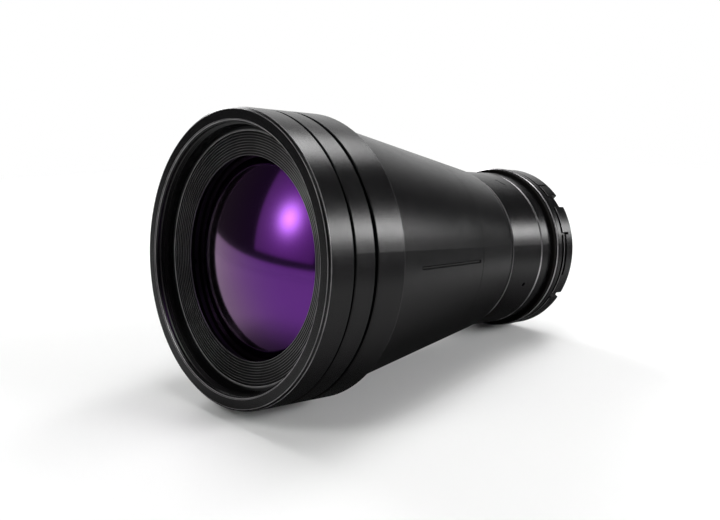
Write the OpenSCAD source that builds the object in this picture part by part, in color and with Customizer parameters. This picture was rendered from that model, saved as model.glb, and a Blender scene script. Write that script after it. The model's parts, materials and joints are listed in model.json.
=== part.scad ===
// Long-wave infrared lens: a germanium objective in a conical aluminium barrel
// with a bayonet ring at its rear end.
// Units are millimetres. The optical axis is +Z and points out of the front.
// The lens stands on the rear face of its bayonet ring at z = 0.

/* [Front bands] */
// Outside diameter of the three front bands
front_d = 100; // [98:0.5:110]
// Length of the front bezel
bezel_len = 10.05; // [9.5:0.05:14]
// Width of the groove between the bezel and the cell's band
bezel_gap = 0.7; // [0.4:0.1:1.2]
// Length of the cell's outer band
cell_band_len = 8.1; // [6:0.1:12]
// Width of the groove between the cell's band and the barrel
cell_gap = 1.2; // [0.6:0.1:2]
// Length of the barrel's band
barrel_band_len = 12; // [8:0.5:16]
// Chamfer around the front face
front_chamfer = 0.8; // [0.4:0.1:1.4]
// Chamfer on the edges of the bands
band_chamfer = 0.3; // [0.1:0.05:0.5]
// Width of the flat front face
face_w = 3.3; // [2.8:0.1:3.6]
// Depth of the small step inside the front face
face_step = 0.25; // [0.1:0.05:0.5]
// Width of the small step inside the front face
face_step_w = 0.3; // [0.2:0.05:0.5]

/* [Filter thread] */
// Step from the edge of the bore down to the filter thread
thread_step = 1; // [0.8:0.1:1.4]
// Length of the filter thread
thread_len = 3; // [2.6:0.1:3.2]
// Depth of the undercut behind the thread
undercut_depth = 0.9; // [0.5:0.1:1.2]
// Depth from the front face to the cell
recess_depth = 6.9; // [6.4:0.1:7.4]

/* [Front cell] */
// Wall of the bezel around the cell's front spigot
bezel_wall = 3.1; // [2.6:0.1:3.7]
// Wall of the barrel's band around the cell's rear spigot
band_wall = 3.7; // [3:0.1:4.4]
// Wall of the cell around the stepped baffle
cell_wall = 2.9; // [2.4:0.1:3.4]
// Length of the cell's rear spigot
rear_spigot_len = 7.15; // [6.6:0.05:9]
// Depth of the bore that takes the stepped baffle
baffle_seat = 3.6; // [3:0.1:4.2]
// Ledge between the baffle's bore and the front retainer's thread
retainer_ledge = 2.5; // [2:0.1:3]
// Ledge between the front retainer's thread and the front element
element_ledge = 3; // [2.5:0.1:3.5]
// Width of the seat behind the front element
seat_w = 3.2; // [2.7:0.1:3.8]
// Clear radial gap between pieces that screw or slide together
fit_gap = 0.1; // [0.05:0.01:0.15]

/* [Stepped baffle] */
// Reach of the baffle's lip over the edge of the dome
lip_reach = 1.7; // [0.5:0.1:2.5]
// Width of the baffle's foot inside the retainer's thread
foot_w = 1.5; // [1:0.1:2.5]
// Width of the flat land outside the steps
land_w = 1.5; // [1:0.1:2.5]
// Number of steps
step_count = 9; // [6:1:12]
// Height of one step's riser
step_h = 0.5; // [0.3:0.05:0.8]
// Depth of the lip below the land
lip_fall = 1.4; // [1:0.1:2]
// Height of the land above the cell's front face
land_proud = 0.3; // [0.1:0.05:0.5]
// Thickness of the lip's edge
lip_edge = 0.4; // [0.3:0.05:0.8]

/* [Front element] */
// Width of the flat rim around the element's polished dome
rim_w = 2.2; // [1.8:0.1:2.6]
// Height of the dome on the front surface
dome_height = 8.7; // [5:0.1:9.5]
// Depth of the hollow in the rear surface
hollow_depth = 6.2; // [3:0.1:7.4]
// Thickness of the element's edge
element_edge = 5.9; // [5:0.1:7]
// Thickness of the front retainer
retainer_len = 1.5; // [1.2:0.1:1.8]
// Reach of the front retainer over the edge of the dome
retainer_reach = 0.3; // [0:0.1:0.8]
// Distance from the retainer to the baffle
retainer_drop = 0.4; // [0.2:0.1:1]
// Thickness of the flat front seal
front_seal_len = 0.8; // [0.6:0.1:1.2]
// Width of a spanner slot in a retaining ring
spanner_slot_w = 2; // [1.5:0.1:3]
// Depth of a spanner slot in a retaining ring
spanner_slot_depth = 0.7; // [0.4:0.1:0.9]

/* [Barrel] */
// Step from the barrel's band down to the cone
band_step = 2.1; // [1.2:0.1:3]
// Step from the cone's rear end down to the collar
cone_step = 0.7; // [0.2:0.1:1.4]
// Length of the cone on the front barrel
front_cone_len = 55.15; // [45:0.5:70]
// Length of the cone on the rear barrel
rear_cone_len = 25.2; // [21:0.1:34]
// Radius of the curve at the rear end of the cone
cone_round = 10; // [8:0.5:20]
// Length of the curve at the rear end of the cone
cone_round_len = 4; // [2:0.5:5]
// Wall of the front barrel
barrel_wall = 3.2; // [2.6:0.1:4]
// Wall of the front barrel around the seam's spigot
seam_wall = 3.5; // [3:0.1:4.2]
// Wall of the seam's spigot
spigot_wall = 3.4; // [3:0.1:4.5]
// Length of the seam's spigot
seam_spigot_len = 9; // [8:0.5:12]
// Chamfer that shows as the fine line at the seam
seam_chamfer = 0.15; // [0.1:0.05:0.3]

/* [Stray-light baffles] */
// Distance from the barrel's band to the first baffle
baffle_1_at = 14; // [8:1:20]
// Distance from the barrel's band to the second baffle
baffle_2_at = 34; // [26:1:38]
// Reach of a baffle plate from the barrel's wall
plate_reach = 7.5; // [5:0.5:10]
// Thickness of a baffle plate
plate_t = 1.2; // [0.8:0.1:2]
// Thickness of the ledge under a baffle plate
ledge_t = 1.6; // [1:0.1:2.5]
// Width of the ledge under a baffle plate
ledge_w = 1.6; // [1:0.1:2.5]

/* [Neck collar] */
// Diameter of the neck collar and of the mount body
collar_d = 64.8; // [63.6:0.2:65.4]
// Length of the neck collar
collar_len = 19; // [15:0.5:24]
// Gap between the cone and the collar
collar_gap = 0.4; // [0.3:0.05:0.7]
// Gap between the collar and the mount body
body_gap = 0.25; // [0.2:0.05:0.5]
// Chamfer on the collar's edges
collar_chamfer = 0.4; // [0.2:0.05:0.6]
// Drop from the collar to the shoulders that it rests against
shoulder_drop = 1.1; // [0.8:0.1:1.5]
// Wall of the collar around the rear tube
collar_wall = 3; // [2.5:0.1:3.6]
// Wall of the rear tube around the rear lens cell
tube_wall = 3.3; // [2.8:0.1:4]
// Number of set screws
set_screw_count = 3; // [2:1:4]
// Distance from the collar's rear edge to the set screws
set_screw_at = 8.25; // [6:0.25:11]
// Angle of the first set screw
set_screw_angle = -28.8; // [-40:0.2:-10]
// Diameter of a set screw
set_screw_d = 1.6; // [1.4:0.1:2]
// Depth of a set screw below the collar's surface
set_screw_drop = 0.8; // [0.4:0.1:1.2]
// Width across the flats of a set screw's socket
set_screw_af = 0.9; // [0.7:0.05:1]
// Depth of a set screw's socket
set_screw_socket = 0.9; // [0.6:0.1:1.1]

/* [Mount body] */
// Length of the mount body's outer band
body_len = 6.6; // [5:0.1:9]
// Chamfer on the front edge of the mount body
body_chamfer = 0.45; // [0.2:0.05:0.6]
// Drop from the mount body to the spigot that carries the bayonet ring
spigot_drop = 1.4; // [1.2:0.1:1.7]
// Length of the thread that joins the mount body to the tube
tube_thread_len = 3.5; // [3:0.1:5]
// Height of the mount seal above the mount body
seal_proud = 1.5; // [1:0.1:1.8]
// Thickness of the mount seal
seal_len = 1.7; // [1.3:0.1:2.2]
// Rounding of the mount seal's edges
seal_round = 0.45; // [0.2:0.05:0.55]

/* [Bayonet ring] */
// Height of the bayonet ring's flange above the mount body
flange_proud = 2; // [1.9:0.1:2.6]
// Step from the flange down to the slotted rim
rim_step = 0.2; // [0.1:0.05:0.4]
// Length of the slotted rim
rim_len = 6.6; // [6.3:0.1:8]
// Width of the groove between the rim and the flange
ring_groove_w = 1.5; // [1:0.1:2]
// Depth of that groove below the rim
ring_groove_depth = 0.7; // [0.4:0.1:0.9]
// Length of the flange
flange_len = 3.6; // [3:0.1:5]
// Chamfer on the flange's and the rim's edges
ring_chamfer = 0.35; // [0.2:0.05:0.5]
// Distance of the fine line from the flange's front edge
flange_line_at = 0.95; // [0.8:0.05:1.2]
// Width of the fine line on the flange
flange_line_w = 0.3; // [0.2:0.05:0.4]
// Thickness of the web that the screws hold
web_len = 3; // [2.6:0.1:3.6]
// Number of times that the slots and notches repeat
bayonet_count = 3; // [3:1:3]
// Angle at which the entry notch starts
notch_from = 27; // [24:0.5:30]
// Angle that the entry notch covers
notch_span = 10; // [7:0.5:12]
// Depth of the entry notch
notch_depth = 1.9; // [1.2:0.1:2.1]
// Angle at which the small notch starts
small_notch_from = -41.6; // [-43:0.2:-39]
// Angle that the small notch covers
small_notch_span = 4.6; // [3:0.2:6]
// Depth of the small notch
small_notch_depth = 1.7; // [1:0.1:2.1]
// Angle of the locking slot's cross bar
lock_slot_angle = 7.2; // [5:0.2:12]
// Angle that the locking slot covers
lock_slot_span = 29.7; // [22:0.1:32]
// Distance from the ring's groove to the locking slot
lock_slot_inset = 0.7; // [0.5:0.1:1]
// Width of the locking slot
lock_slot_w = 1.3; // [0.9:0.1:1.5]
// Depth of the locking slot
lock_slot_depth = 1.2; // [0.6:0.1:1.6]
// Reach of the cross bar past the locking slot towards the rear face
cross_bar_reach = 1.9; // [1:0.1:2.6]
// Width of the cross bar and of the straight slot
narrow_slot_w = 1; // [0.7:0.1:1.3]
// Angle of the straight slot
straight_slot_angle = 47.5; // [45:0.5:50]
// Depth of the straight slot
straight_slot_depth = 0.8; // [0.4:0.1:1.2]
// Distance of the straight slot from the rear face
straight_slot_z = 0.7; // [0.5:0.1:1.5]
// Angle of the pin hole
pin_hole_angle = -47; // [-50:0.5:-45]
// Height of the pin hole above the rear face
pin_hole_z = 3.4; // [3:0.1:4]
// Diameter of the pin hole
pin_hole_d = 0.9; // [0.7:0.1:1.2]
// Depth of the pin hole
pin_hole_depth = 1; // [0.6:0.1:1.4]

/* [Bayonet screws] */
// Number of bayonet screws
screw_count = 6; // [3:1:8]
// Angle of the first bayonet screw
screw_angle = 20; // [10:1:30]
// Distance from the rear bore to the middle of a screw
screw_inset = 2.7; // [2.4:0.1:2.9]
// Diameter of a screw's thread
screw_d = 1.6; // [1.4:0.1:2]
// Diameter of a screw's head
screw_head_d = 3.6; // [3:0.1:3.8]
// Length of a screw
screw_len = 7; // [6:0.5:9]
// Width across the flats of a screw's socket
screw_af = 1.3; // [1.1:0.1:1.5]
// Depth of a screw's socket
screw_socket = 0.8; // [0.5:0.1:1]

/* [Rear lens group] */
// Distance from the rear cell's front end to the seam
cell_to_seam = 8.85; // [7:0.05:12]
// Thickness of the lock ring behind the rear cell
lock_ring_len = 2.5; // [2:0.1:3]
// Width of the lock ring
lock_ring_w = 4; // [3:0.1:5]
// Distance from the rear face to the lock ring
lock_ring_z = 9.5; // [8:0.5:11]
// Wall of the rear cell around its two elements
small_cell_wall = 4.4; // [3.8:0.1:5]
// Width of the seats in the rear cell
small_seat_w = 2; // [1.6:0.1:2.6]
// Thickness of the rear cell's front shoulder
cell_lip = 1.5; // [1:0.1:2.5]
// Edge thickness of the middle element
middle_edge = 4.2; // [3.5:0.1:5]
// Edge thickness of the rear element
rear_edge = 4.5; // [3.5:0.1:5.5]
// Depth of the hollow in the middle element's front surface
middle_hollow = 2; // [1:0.1:2.4]
// Height of the dome on the middle element's rear surface
middle_dome = 1.6; // [0.8:0.1:2.4]
// Height of the dome on the rear element's front surface
rear_dome = 2.8; // [1.6:0.1:3.4]
// Depth of the hollow in the rear element's rear surface
rear_hollow = 2.1; // [1:0.1:2.5]
// Thickness of the rear retainer
rear_retainer_len = 3; // [2:0.1:3.5]
// Distance from the rear cell's end to the rear retainer
rear_retainer_drop = 2; // [1.5:0.1:3]

/* [Seals] */
// Thickness of the round seals
cord_d = 1.8; // [1.6:0.05:2]
// Play along the axis between a round seal and its groove
groove_play = 0.5; // [0.2:0.1:1]
// Gap between a round seal and its groove
seal_slack = 0.05; // [0.03:0.01:0.1]
// Distance from a spigot's end to its seal groove
seal_inset = 1.6; // [1.2:0.1:2]

/* [Engraving] */
// Angle of the engraved lines on the barrel
slot_angle = -7.5; // [-20:0.5:20]
// Width of the engraved slot on the barrel
slot_w = 1.3; // [0.8:0.1:2]
// Length of the engraved slot on the barrel
slot_len = 41; // [30:1:42]
// Distance from the engraved slot to the seam
slot_to_seam = 2; // [1.5:0.5:3]
// Depth of the engraving
engrave_depth = 0.3; // [0.15:0.05:0.5]
// Angle of the index mark on the collar
index_angle = 54.7; // [45:0.1:65]
// Distance from the collar's rear edge to the index mark
index_at = 7.35; // [5:0.05:10]
// Length of the index mark
index_len = 4.6; // [3:0.1:6]
// Width of the index mark
index_w = 0.6; // [0.4:0.1:1]
// Slant of the index mark across the collar
index_slant = 24; // [0:1:40]

/* [Hidden] */
$fn = 144;

// Overlap that cutting tools need past the surface they cut
cut = 1;

anodised = "#1d1d20";
blackened = "#101012";
rubber = "#15110f";
steel = "#6c6d70";
coated = "#5a1d86";
rear_coat = "#27424a";

// Heights of the joints above the rear face
ring_top_z = rim_len + ring_groove_w + flange_len;
body_z = ring_top_z + seal_len;
body_top_z = body_z + body_len;
collar_z = body_top_z + body_gap;
collar_top_z = collar_z + collar_len;
cone_end_z = collar_top_z + collar_gap;
seam_z = cone_end_z + rear_cone_len;
band_z = seam_z + front_cone_len;
barrel_top_z = band_z + barrel_band_len;
cell_z = barrel_top_z + cell_gap;
cell_top_z = cell_z + cell_band_len;
bezel_z = cell_top_z + bezel_gap;
front_z = bezel_z + bezel_len;

// Radii of the bezel, the front cell and what they hold
front_r = front_d / 2;
face_inner_r = front_r - front_chamfer - face_w;
lead_r = face_inner_r - face_step_w;
thread_r = lead_r - thread_step;
undercut_r = thread_r + undercut_depth;
front_spigot_r = front_r - bezel_wall;
rear_spigot_r = front_r - band_wall;
baffle_r = front_spigot_r - cell_wall;
retainer_r = baffle_r - retainer_ledge;
element_r = retainer_r - element_ledge;
dome_half = element_r - rim_w;
aperture_r = element_r - seat_w;
lip_r = dome_half - lip_reach;

// Heights inside the bezel and the front cell
face_z = front_z - recess_depth;
lead_z = front_z - face_step;
thread_top_z = lead_z - thread_step;
thread_end_z = thread_top_z - thread_len;
land_z = face_z + land_proud;
lip_z = land_z - lip_fall;
seat_z = face_z - baffle_seat;
retainer_top_z = seat_z - retainer_drop;
retainer_z = retainer_top_z - retainer_len;
rim_z = retainer_z - front_seal_len;
element_z = rim_z - element_edge;
cell_end_z = cell_z - rear_spigot_len;

// Radii of the collar, the rear tube and the bayonet ring
collar_r = collar_d / 2;
shoulder_r = collar_r - shoulder_drop;
tube_r = collar_r - collar_wall;
rear_bore_r = tube_r - tube_wall;
mount_spigot_r = collar_r - spigot_drop;
flange_r = collar_r + flange_proud;
rim_r = flange_r - rim_step;
lock_slot_z = rim_len - lock_slot_inset - lock_slot_w;

// The cone, inside and outside
cone_front_r = front_r - band_step;
cone_len = front_cone_len + rear_cone_len;
cone_slope = (cone_front_r - collar_r - cone_step) / cone_len;
function cone_r(z) = cone_front_r - cone_slope * (band_z - z);
function inner_r(z) = cone_r(z) - barrel_wall;
seam_r = cone_r(seam_z);
spigot_r = seam_r - seam_wall;
spigot_top_z = seam_z + seam_spigot_len;
first_z = band_z - baffle_1_at;
second_z = band_z - baffle_2_at;

// The rear lens group
rear_cell_r = rear_bore_r - fit_gap;
rear_cell_z = lock_ring_z + lock_ring_len;
rear_cell_top_z = seam_z - cell_to_seam;
small_bore_r = rear_cell_r - small_cell_wall;
small_r = small_bore_r - fit_gap;
clear_r = small_r - small_seat_w;
middle_top_z = rear_cell_top_z - cell_lip;
middle_z = middle_top_z - middle_edge;
rear_retainer_z = rear_cell_z + rear_retainer_drop;
rear_element_z = rear_retainer_z + rear_retainer_len;
rear_element_top_z = rear_element_z + rear_edge;
tube_end_z = body_top_z - tube_thread_len;

// Room that a round seal takes between the bottom of its groove and the bore
seal_room = cord_d + 2 * seal_slack;
groove_w = cord_d + groove_play;

// Radius of the spherical surface that rises by the given height over the given half width
function sphere_r(height, half) = (half * half + height * height) / (2 * height);

// Solid of revolution from radius and height pairs
module turned(points) {
    rotate_extrude() polygon(points);
}

// Plain ring between two radii and two heights
module ring(outer_r, inner_r, low_z, high_z) {
    turned([[inner_r, low_z], [outer_r, low_z], [outer_r, high_z], [inner_r, high_z]]);
}

// Part of a ring, used to cut slots and notches that follow the rim
module ring_sector(outer_r, inner_r, low_z, high_z, from, span) {
    rotate([0, 0, from])
        rotate_extrude(angle = span)
            translate([inner_r, low_z]) square([outer_r - inner_r, high_z - low_z]);
}

// Round seal lying in the groove that seal_groove cuts
module round_seal(bore_r, mid_z) {
    rotate_extrude() translate([bore_r - seal_room / 2, mid_z]) circle(d = cord_d, $fn = 48);
}

// Cutter for the groove of a round seal that presses on a bore
module seal_groove(bore_r, mid_z) {
    ring(bore_r + cut, bore_r - seal_room, mid_z - groove_w / 2, mid_z + groove_w / 2);
}

// Two spanner slots across the face of a retaining ring at the given height
module spanner_slots(outer_r, face_height, side) {
    for (turn = [0, 180])
        rotate([0, 0, turn])
            translate([0, -spanner_slot_w / 2, face_height - (side > 0 ? spanner_slot_depth : cut)])
                cube([outer_r + cut, spanner_slot_w, spanner_slot_depth + cut]);
}

// Spherical cap that stands on a disc of the given half width at the given height
module cap(height, half, low_z) {
    r = sphere_r(height, half);
    intersection() {
        translate([0, 0, low_z + height - r]) sphere(r = r);
        translate([0, 0, low_z - cut]) cylinder(r = half, h = height + 2 * cut);
    }
}

// Lens element: a disc with a domed or a hollow surface at each side.
// A positive rise is a dome's height and a negative one is a hollow's depth.
module lens(outer_r, half, low_z, high_z, top_rise, bottom_rise) {
    difference() {
        union() {
            translate([0, 0, low_z]) cylinder(r = outer_r, h = high_z - low_z);
            if (top_rise > 0) cap(top_rise, half, high_z);
            if (bottom_rise > 0)
                translate([0, 0, 2 * low_z]) mirror([0, 0, 1]) cap(bottom_rise, half, low_z);
        }
        if (top_rise < 0) translate([0, 0, 2 * high_z]) mirror([0, 0, 1]) cap(-top_rise, half, high_z);
        if (bottom_rise < 0) cap(-bottom_rise, half, low_z);
    }
}

// Front bezel with the filter thread's bore
module front_bezel() {
    skirt_r = front_spigot_r + fit_gap;
    color(anodised)
        turned([
            [skirt_r, bezel_z],
            [front_r - band_chamfer, bezel_z],
            [front_r, bezel_z + band_chamfer],
            [front_r, front_z - front_chamfer],
            [front_r - front_chamfer, front_z],
            [face_inner_r, front_z],
            [face_inner_r, lead_z],
            [lead_r, lead_z],
            [thread_r, thread_top_z],
            [thread_r, thread_end_z],
            [undercut_r, thread_end_z],
            [undercut_r, face_z],
            [skirt_r, face_z],
        ]);
}

// Stepped baffle whose sawtooth rings keep stray light off the front element
module baffle_ring() {
    land_r = baffle_r - land_w;
    pitch = (land_r - lip_r) / step_count;
    fall = lip_fall / step_count;
    teeth = [
        for (i = [0:step_count - 1])
            for (p = [
                [land_r - i * pitch, land_z - i * fall],
                [land_r - i * pitch, land_z - i * fall - step_h],
            ]) p
    ];
    color(anodised)
        turned(concat(
            [[baffle_r, seat_z], [baffle_r, land_z]],
            teeth,
            [
                [lip_r, lip_z],
                [lip_r, lip_z - lip_edge],
                [retainer_r - foot_w, seat_z],
            ]
        ));
}

// Threaded ring that holds the front element in its cell
module front_retainer() {
    color(blackened)
        difference() {
            ring(retainer_r, dome_half - retainer_reach, retainer_z, retainer_top_z);
            spanner_slots(retainer_r, retainer_top_z, 1);
        }
}

// Flat rubber ring between the retainer and the front element
module front_seal() {
    color(rubber)
        ring(element_r - fit_gap, dome_half + fit_gap, rim_z, retainer_z);
}

// Germanium front element with its dark purple coating
module front_element() {
    color(coated)
        lens(element_r, dome_half, element_z, rim_z, dome_height, -hollow_depth);
}

// Cell of the front element, whose flange is the second band
module front_cell() {
    color(anodised)
        difference() {
            turned([
                [aperture_r, cell_end_z],
                [rear_spigot_r, cell_end_z],
                [rear_spigot_r, cell_z],
                [front_r - band_chamfer, cell_z],
                [front_r, cell_z + band_chamfer],
                [front_r, cell_top_z - band_chamfer],
                [front_r - band_chamfer, cell_top_z],
                [front_spigot_r, cell_top_z],
                [front_spigot_r, face_z],
                [baffle_r + fit_gap, face_z],
                [baffle_r + fit_gap, seat_z],
                [retainer_r + fit_gap, seat_z],
                [retainer_r + fit_gap, retainer_z],
                [element_r + fit_gap, retainer_z],
                [element_r + fit_gap, element_z],
                [aperture_r, element_z],
            ]);
            seal_groove(rear_spigot_r + fit_gap, cell_end_z + seal_inset + groove_w / 2);
        }
}

// Round seal between the front cell and the barrel
module cell_seal() {
    color(rubber)
        round_seal(rear_spigot_r + fit_gap, cell_end_z + seal_inset + groove_w / 2);
}

// Cutter for the engraved slot, laid along the surface of the cone
module engraved_slot() {
    tilt = atan(cone_slope);
    start_z = seam_z + slot_to_seam;
    rotate([0, 0, slot_angle])
        translate([cone_r(start_z), 0, start_z])
            rotate([0, tilt, 0])
                translate([-engrave_depth, 0, 0])
                    rotate([90, 0, 90])
                        linear_extrude(engrave_depth + cut) {
                            translate([0, slot_w / 2]) circle(d = slot_w, $fn = 32);
                            translate([0, slot_len - slot_w / 2]) circle(d = slot_w, $fn = 32);
                            translate([-slot_w / 2, slot_w / 2]) square([slot_w, slot_len - slot_w]);
                        }
}

// Ledge inside the barrel that a baffle plate lies on
module ledge(top_z) {
    outer = inner_r(top_z) + barrel_wall / 2;
    inner = inner_r(top_z) - ledge_w;
    ring(outer, inner, top_z - ledge_t, top_z);
}

// Front barrel: the third band and the long cone as far as the seam
module front_barrel() {
    bore_r = rear_spigot_r + fit_gap;
    color(anodised)
        difference() {
            union() {
                turned([
                    [spigot_r + fit_gap, seam_z],
                    [seam_r - seam_chamfer, seam_z],
                    [cone_r(seam_z + seam_chamfer), seam_z + seam_chamfer],
                    [cone_front_r, band_z],
                    [front_r - band_chamfer, band_z],
                    [front_r, band_z + band_chamfer],
                    [front_r, barrel_top_z - band_chamfer],
                    [front_r - band_chamfer, barrel_top_z],
                    [bore_r, barrel_top_z],
                    [bore_r, cell_end_z],
                    [inner_r(cell_end_z - barrel_wall), cell_end_z],
                    [inner_r(band_z), band_z],
                    [inner_r(spigot_top_z), spigot_top_z],
                    [spigot_r + fit_gap, spigot_top_z],
                ]);
                ledge(first_z);
                ledge(second_z);
            }
            engraved_slot();
        }
}

// Thin blackened plate across the light path, lying on its ledge
module baffle_plate(low_z) {
    opening_r = inner_r(low_z) - plate_reach;
    color(blackened)
        turned([
            [opening_r + plate_t / 2, low_z],
            [inner_r(low_z) - fit_gap, low_z],
            [inner_r(low_z + plate_t) - fit_gap, low_z + plate_t],
            [opening_r, low_z + plate_t],
        ]);
}

// First stray-light baffle
module first_baffle() {
    baffle_plate(first_z);
}

// Second stray-light baffle
module second_baffle() {
    baffle_plate(second_z);
}

// Round seal on the seam's spigot
module seam_seal() {
    color(rubber)
        round_seal(spigot_r + fit_gap, spigot_top_z - seal_inset - groove_w / 2);
}

// Rear barrel: the end of the cone, its spigot and the tube under the collar
module rear_barrel() {
    tilt = atan(cone_slope);
    round_z = cone_end_z + cone_round_len;
    sweep_end = asin(sin(tilt) + cone_round_len / cone_round);
    steps = 6;
    rounding = [
        for (i = [steps:-1:0])
            let (a = tilt + (sweep_end - tilt) * i / steps)
                [
                    cone_r(round_z) - cone_round * (cos(tilt) - cos(a)),
                    round_z - cone_round * (sin(a) - sin(tilt)),
                ]
    ];
    color(anodised)
        difference() {
            turned(concat(
                [
                    [rear_bore_r, tube_end_z],
                    [tube_r, tube_end_z],
                    [tube_r, collar_top_z],
                    [shoulder_r, collar_top_z],
                    [shoulder_r, cone_end_z],
                ],
                rounding,
                [
                    [cone_r(seam_z - seam_chamfer), seam_z - seam_chamfer],
                    [seam_r - seam_chamfer, seam_z],
                    [spigot_r, seam_z],
                    [spigot_r, spigot_top_z],
                    [spigot_r - spigot_wall, spigot_top_z],
                    [spigot_r - spigot_wall, seam_z],
                    [clear_r, rear_cell_top_z + cell_lip],
                    [clear_r, rear_cell_top_z],
                    [rear_bore_r, rear_cell_top_z],
                ]
            ));
            seal_groove(spigot_r + fit_gap, spigot_top_z - seal_inset - groove_w / 2);
        }
}

// Places its children at each of the collar's set screws
module at_set_screws() {
    for (i = [0:set_screw_count - 1])
        rotate([0, 0, set_screw_angle + 360 / set_screw_count * i])
            translate([0, 0, collar_z + set_screw_at])
                rotate([0, 90, 0]) children();
}

// Slanted index mark across the collar
module index_mark() {
    rotate([0, 0, index_angle])
        translate([collar_r - engrave_depth, 0, collar_z + index_at])
            rotate([index_slant, 0, 0])
                rotate([90, 0, 90])
                    translate([-index_len / 2, -index_w / 2])
                        linear_extrude(engrave_depth + cut) square([index_len, index_w]);
}

// Collar around the rear tube, clamped by its set screws
module neck_collar() {
    bore_r = tube_r + fit_gap;
    color(anodised)
        difference() {
            turned([
                [bore_r, collar_z],
                [collar_r - collar_chamfer, collar_z],
                [collar_r, collar_z + collar_chamfer],
                [collar_r, collar_top_z - collar_chamfer],
                [collar_r - collar_chamfer, collar_top_z],
                [bore_r, collar_top_z],
            ]);
            at_set_screws() cylinder(d = set_screw_d + fit_gap, h = collar_d);
            index_mark();
        }
}

// Headless screws that clamp the collar
module collar_set_screws() {
    foot_r = tube_r + fit_gap / 2;
    top_r = collar_r - set_screw_drop;
    color(steel)
        at_set_screws()
            difference() {
                translate([0, 0, foot_r]) cylinder(d = set_screw_d, h = top_r - foot_r);
                translate([0, 0, top_r - set_screw_socket])
                    cylinder(d = set_screw_af / cos(30), h = set_screw_socket + cut, $fn = 6);
            }
}

// Places its children at each bayonet screw, with the head at the rear face
module at_bayonet_screws() {
    for (i = [0:screw_count - 1])
        rotate([0, 0, screw_angle + 360 / screw_count * i])
            translate([rear_bore_r + screw_inset, 0, 0]) children();
}

// Mount body: screws on the rear tube and carries the bayonet ring
module mount_body() {
    color(anodised)
        difference() {
            turned([
                [rear_bore_r, web_len],
                [mount_spigot_r, web_len],
                [mount_spigot_r, body_z],
                [collar_r, body_z],
                [collar_r, body_top_z - body_chamfer],
                [collar_r - body_chamfer, body_top_z],
                [shoulder_r, body_top_z],
                [shoulder_r, collar_z],
                [tube_r + fit_gap, collar_z],
                [tube_r + fit_gap, tube_end_z],
                [rear_bore_r, tube_end_z],
            ]);
            at_bayonet_screws() cylinder(d = screw_d + fit_gap, h = screw_len + fit_gap);
        }
}

// Rubber ring in front of the bayonet ring's flange
module mount_seal() {
    outer_r = collar_r + seal_proud;
    arc = [for (a = [0:30:90]) [cos(a), sin(a)]];
    color(rubber)
        turned(concat(
            [[mount_spigot_r + fit_gap, ring_top_z]],
            [
                for (i = [3:-1:0])
                    [
                        outer_r - seal_round + seal_round * arc[i][0],
                        ring_top_z + seal_round - seal_round * arc[i][1],
                    ]
            ],
            [
                for (p = arc)
                    [outer_r - seal_round + seal_round * p[0], body_z - seal_round + seal_round * p[1]]
            ],
            [[mount_spigot_r + fit_gap, body_z]]
        ));
}

// Slots and notches of one third of the rim
module rim_cuts() {
    past = rim_r + cut;
    groove_z = rim_len + ring_groove_w / 2;
    ring_sector(past, rim_r - notch_depth, -cut, groove_z, notch_from, notch_span);
    ring_sector(past, rim_r - small_notch_depth, -cut, groove_z, small_notch_from, small_notch_span);
    rotate([0, 0, lock_slot_angle]) {
        ring_sector(past, rim_r - lock_slot_depth, lock_slot_z, lock_slot_z + lock_slot_w,
            -lock_slot_span, lock_slot_span);
        translate([rim_r - lock_slot_depth, -narrow_slot_w / 2, lock_slot_z - cross_bar_reach])
            cube([lock_slot_depth + cut, narrow_slot_w, groove_z - lock_slot_z + cross_bar_reach]);
    }
    rotate([0, 0, straight_slot_angle])
        translate([rim_r - straight_slot_depth, -narrow_slot_w / 2, straight_slot_z])
            cube([straight_slot_depth + cut, narrow_slot_w, groove_z - straight_slot_z]);
    rotate([0, 0, pin_hole_angle])
        translate([rim_r - pin_hole_depth, 0, pin_hole_z])
            rotate([0, 90, 0]) cylinder(d = pin_hole_d, h = pin_hole_depth + cut);
}

// Bayonet ring: flange, groove, slotted rim and the web that the screws hold
module bayonet_ring() {
    bore_r = mount_spigot_r + fit_gap;
    groove_r = rim_r - ring_groove_depth;
    flange_z = rim_len + ring_groove_w;
    line_z = ring_top_z - flange_line_at;
    color(anodised)
        difference() {
            turned([
                [rear_bore_r, 0],
                [rim_r - ring_chamfer, 0],
                [rim_r, ring_chamfer],
                [rim_r, rim_len],
                [groove_r, rim_len],
                [groove_r, flange_z],
                [flange_r - ring_chamfer, flange_z],
                [flange_r, flange_z + ring_chamfer],
                [flange_r, line_z - flange_line_w],
                [flange_r - flange_line_w, line_z - flange_line_w],
                [flange_r - flange_line_w, line_z],
                [flange_r, line_z],
                [flange_r, ring_top_z - ring_chamfer],
                [flange_r - ring_chamfer, ring_top_z],
                [bore_r, ring_top_z],
                [bore_r, web_len],
                [rear_bore_r, web_len],
            ]);
            for (i = [0:bayonet_count - 1])
                rotate([0, 0, 360 / bayonet_count * i]) rim_cuts();
            at_bayonet_screws() {
                translate([0, 0, -cut]) cylinder(d = screw_d + 2 * fit_gap, h = web_len + 2 * cut);
                screw_head(cut);
            }
        }
}

// Countersunk head, or the cutter for its seat when it starts below the face
module screw_head(below) {
    head_r = screw_head_d / 2;
    turned([[0, -below], [head_r + below, -below], [0, head_r]]);
}

// Countersunk screws that hold the bayonet ring
module bayonet_screws() {
    color(steel)
        at_bayonet_screws()
            difference() {
                union() {
                    screw_head(0);
                    cylinder(d = screw_d, h = screw_len);
                }
                translate([0, 0, -cut])
                    cylinder(d = screw_af / cos(30), h = screw_socket + cut, $fn = 6);
            }
}

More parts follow.
